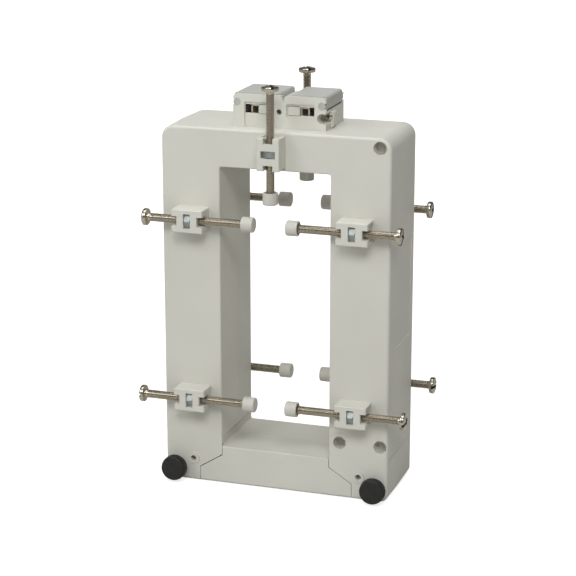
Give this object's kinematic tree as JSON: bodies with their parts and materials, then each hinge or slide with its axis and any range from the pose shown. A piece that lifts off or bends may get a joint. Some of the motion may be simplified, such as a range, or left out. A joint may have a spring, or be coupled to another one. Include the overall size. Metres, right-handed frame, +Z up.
{
  "type": "split-core current transformer",
  "caption": "Tall split-core current transformer with a rectangular busbar window, a removable yoke, clamp screws with plastic caps and a terminal block.",
  "frame": {"origin": "middle of the base face under the window, half way between the front and the back face", "axes": "+X to the right across the window, +Y from the front with the thumb screws to the back, +Z up from the base"},
  "size_m": [0.1974, 0.0934, 0.2927],
  "materials": {
    "housing": "matt",
    "cover": "matt",
    "cap": "satin",
    "knob": "matt",
    "nickel": "bright",
    "zinc": "satin",
    "brass": "satin",
    "core": "satin",
    "copper": "satin",
    "bobbin": "matt",
    "spring": "satin"
  },
  "bodies": {
    "housing": {"front_shell": "housing", "rear_shell": "housing", "yoke_front_shell": "housing", "yoke_rear_shell": "housing", "upper_core": "core", "yoke_core": "core", "left_bobbin": "bobbin", "right_bobbin": "bobbin", "left_winding": "copper", "right_winding": "copper", "left_lead": "copper", "right_lead": "copper", "winding_link": "copper", "yoke_spring": "spring", "terminal_base": "housing", "terminal_base_screws": "nickel", "left_entry_plug": "cap", "right_entry_plug": "cap", "left_terminal_cage": "zinc", "right_terminal_cage": "zinc", "clamp_nuts": "zinc", "thumb_screw_bushes": "brass"},
    "left_cover": {"left_terminal_cover": "cover"},
    "right_cover": {"right_terminal_cover": "cover"},
    "left_wire_clamp": {"left_terminal_screw": "nickel"},
    "right_wire_clamp": {"right_terminal_screw": "nickel"},
    "left_thumb_screw": {"left_thumb_knob": "knob", "left_thumb_stud": "nickel"},
    "right_thumb_screw": {"right_thumb_knob": "knob", "right_thumb_stud": "nickel"},
    "front_left_upper_clamp": {"front_left_upper_screw": "nickel", "front_left_upper_cap": "cap"},
    "front_left_lower_clamp": {"front_left_lower_screw": "nickel", "front_left_lower_cap": "cap"},
    "front_right_upper_clamp": {"front_right_upper_screw": "nickel", "front_right_upper_cap": "cap"},
    "front_right_lower_clamp": {"front_right_lower_screw": "nickel", "front_right_lower_cap": "cap"},
    "front_top_clamp": {"front_top_screw": "nickel", "front_top_cap": "cap"},
    "back_left_upper_clamp": {"back_left_upper_screw": "nickel", "back_left_upper_cap": "cap"},
    "back_left_lower_clamp": {"back_left_lower_screw": "nickel", "back_left_lower_cap": "cap"},
    "back_right_upper_clamp": {"back_right_upper_screw": "nickel", "back_right_upper_cap": "cap"},
    "back_right_lower_clamp": {"back_right_lower_screw": "nickel", "back_right_lower_cap": "cap"},
    "back_top_clamp": {"back_top_screw": "nickel", "back_top_cap": "cap"}
  },
  "joints": [
    {"name": "left_cover_hinge", "type": "hinge", "parent": "housing", "child": "left_cover", "pos_m": [-0.0304, 0, 0.2762], "axis": [0, -1, 0], "range_deg": [0, 100]},
    {"name": "right_cover_hinge", "type": "hinge", "parent": "housing", "child": "right_cover", "pos_m": [0.0304, 0, 0.2762], "axis": [0, 1, 0], "range_deg": [0, 100]},
    {"name": "left_wire_clamp_slide", "type": "slide", "parent": "housing", "child": "left_wire_clamp", "axis": [0, 0, -1], "range_m": [0, 0.0026]},
    {"name": "right_wire_clamp_slide", "type": "slide", "parent": "housing", "child": "right_wire_clamp", "axis": [0, 0, -1], "range_m": [0, 0.0026]},
    {"name": "left_thumb_screw_slide", "type": "slide", "parent": "housing", "child": "left_thumb_screw", "axis": [0, -1, 0], "range_m": [0, 0.01]},
    {"name": "right_thumb_screw_slide", "type": "slide", "parent": "housing", "child": "right_thumb_screw", "axis": [0, -1, 0], "range_m": [0, 0.01]},
    {"name": "front_left_upper_clamp_slide", "type": "slide", "parent": "housing", "child": "front_left_upper_clamp", "axis": [1, 0, 0], "range_m": [-0.0274, 0.009]},
    {"name": "front_left_lower_clamp_slide", "type": "slide", "parent": "housing", "child": "front_left_lower_clamp", "axis": [1, 0, 0], "range_m": [-0.0274, 0.009]},
    {"name": "front_right_upper_clamp_slide", "type": "slide", "parent": "housing", "child": "front_right_upper_clamp", "axis": [-1, 0, 0], "range_m": [-0.0274, 0.009]},
    {"name": "front_right_lower_clamp_slide", "type": "slide", "parent": "housing", "child": "front_right_lower_clamp", "axis": [-1, 0, 0], "range_m": [-0.0274, 0.009]},
    {"name": "front_top_clamp_slide", "type": "slide", "parent": "housing", "child": "front_top_clamp", "axis": [0, 0, -1], "range_m": [-0.015, 0.008]},
    {"name": "back_left_upper_clamp_slide", "type": "slide", "parent": "housing", "child": "back_left_upper_clamp", "axis": [1, 0, 0], "range_m": [-0.0274, 0.009]},
    {"name": "back_left_lower_clamp_slide", "type": "slide", "parent": "housing", "child": "back_left_lower_clamp", "axis": [1, 0, 0], "range_m": [-0.0274, 0.009]},
    {"name": "back_right_upper_clamp_slide", "type": "slide", "parent": "housing", "child": "back_right_upper_clamp", "axis": [-1, 0, 0], "range_m": [-0.0274, 0.009]},
    {"name": "back_right_lower_clamp_slide", "type": "slide", "parent": "housing", "child": "back_right_lower_clamp", "axis": [-1, 0, 0], "range_m": [-0.0274, 0.009]},
    {"name": "back_top_clamp_slide", "type": "slide", "parent": "housing", "child": "back_top_clamp", "axis": [0, 0, -1], "range_m": [-0.015, 0.008]}
  ]
}
